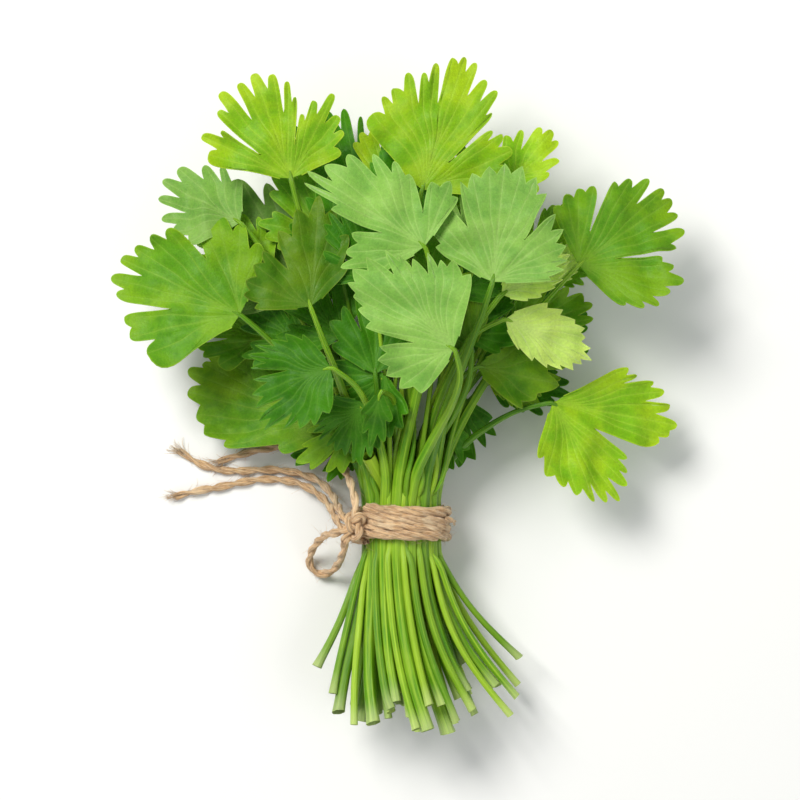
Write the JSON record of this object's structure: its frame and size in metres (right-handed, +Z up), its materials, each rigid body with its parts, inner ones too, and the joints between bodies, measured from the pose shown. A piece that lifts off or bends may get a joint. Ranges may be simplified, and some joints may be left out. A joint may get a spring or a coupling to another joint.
{
  "type": "coriander bunch",
  "caption": "Bunch of fresh coriander lying on its side: lobed green leaves on long stems, tied near the cut ends with jute twine.",
  "frame": {"origin": "middle of the bunch's outline on the surface that it lies on, at the height of its lowest leaf", "axes": "+Y along the bunch from the cut stem ends to the leaf tips, +Z up from the surface, +X to the right seen from above with the leaves away from the viewer"},
  "size_m": [0.1839, 0.2189, 0.0672],
  "materials": {
    "leaf_soft": "matt light green leaf, slightly bluish, translucent",
    "leaf_mid": "satin mid-green leaf, translucent",
    "leaf_lime": "satin bright yellow-green leaf, translucent",
    "leaf_deep": "satin dark green leaf",
    "leaf_pale": "matt pale green leaf, translucent",
    "stem": "smooth moist ribbed green stem, pale where cut",
    "twine": "rough twisted natural jute"
  },
  "bodies": {
    "root": {"leaf_front_centre": "leaf_soft", "leaf_upper_centre": "leaf_soft", "leaf_upper_right": "leaf_soft", "leaf_front_left": "leaf_deep", "leaf_mid_left": "leaf_mid", "leaf_crown": "leaf_lime", "leaf_top_left": "leaf_lime", "leaf_left_shoulder": "leaf_soft", "leaf_far_left": "leaf_mid", "leaf_far_right": "leaf_mid", "leaf_right_shoulder": "leaf_lime", "leaf_right_mid": "leaf_pale", "leaf_right_edge": "leaf_pale", "leaf_low_left": "leaf_mid", "leaf_right_fold": "leaf_mid", "leaf_low_right": "leaf_lime", "leaf_back_left": "leaf_soft", "leaf_inner_right": "leaf_mid", "leaf_young_front": "leaf_deep", "leaf_hidden_centre": "leaf_deep", "leaf_hanging_right": "leaf_deep", "leaf_crown_behind": "leaf_lime", "leaf_under_centre": "leaf_deep", "leaf_under_left": "leaf_deep", "leaf_under_right": "leaf_deep", "leaf_under_crown": "leaf_deep", "stem_front_centre": "stem", "stem_upper_centre": "stem", "stem_upper_right": "stem", "stem_front_left": "stem", "stem_mid_left": "stem", "stem_crown": "stem", "stem_top_left": "stem", "stem_left_shoulder": "stem", "stem_far_left": "stem", "stem_far_right": "stem", "stem_right_shoulder": "stem", "stem_right_mid": "stem", "stem_right_edge": "stem", "stem_low_left": "stem", "stem_right_fold": "stem", "stem_low_right": "stem", "stem_back_left": "stem", "stem_inner_right": "stem", "stem_young_front": "stem", "stem_hidden_centre": "stem", "stem_hanging_right": "stem", "stem_crown_behind": "stem", "stem_under_centre": "stem", "stem_under_left": "stem", "stem_under_right": "stem", "stem_under_crown": "stem", "stem_snapped": "stem", "twine_wraps": "twine", "twine_knot": "twine", "twine_tail_long": "twine", "twine_tail_forked": "twine", "twine_tail_upper": "twine", "twine_loop": "twine"}
  },
  "joints": []
}
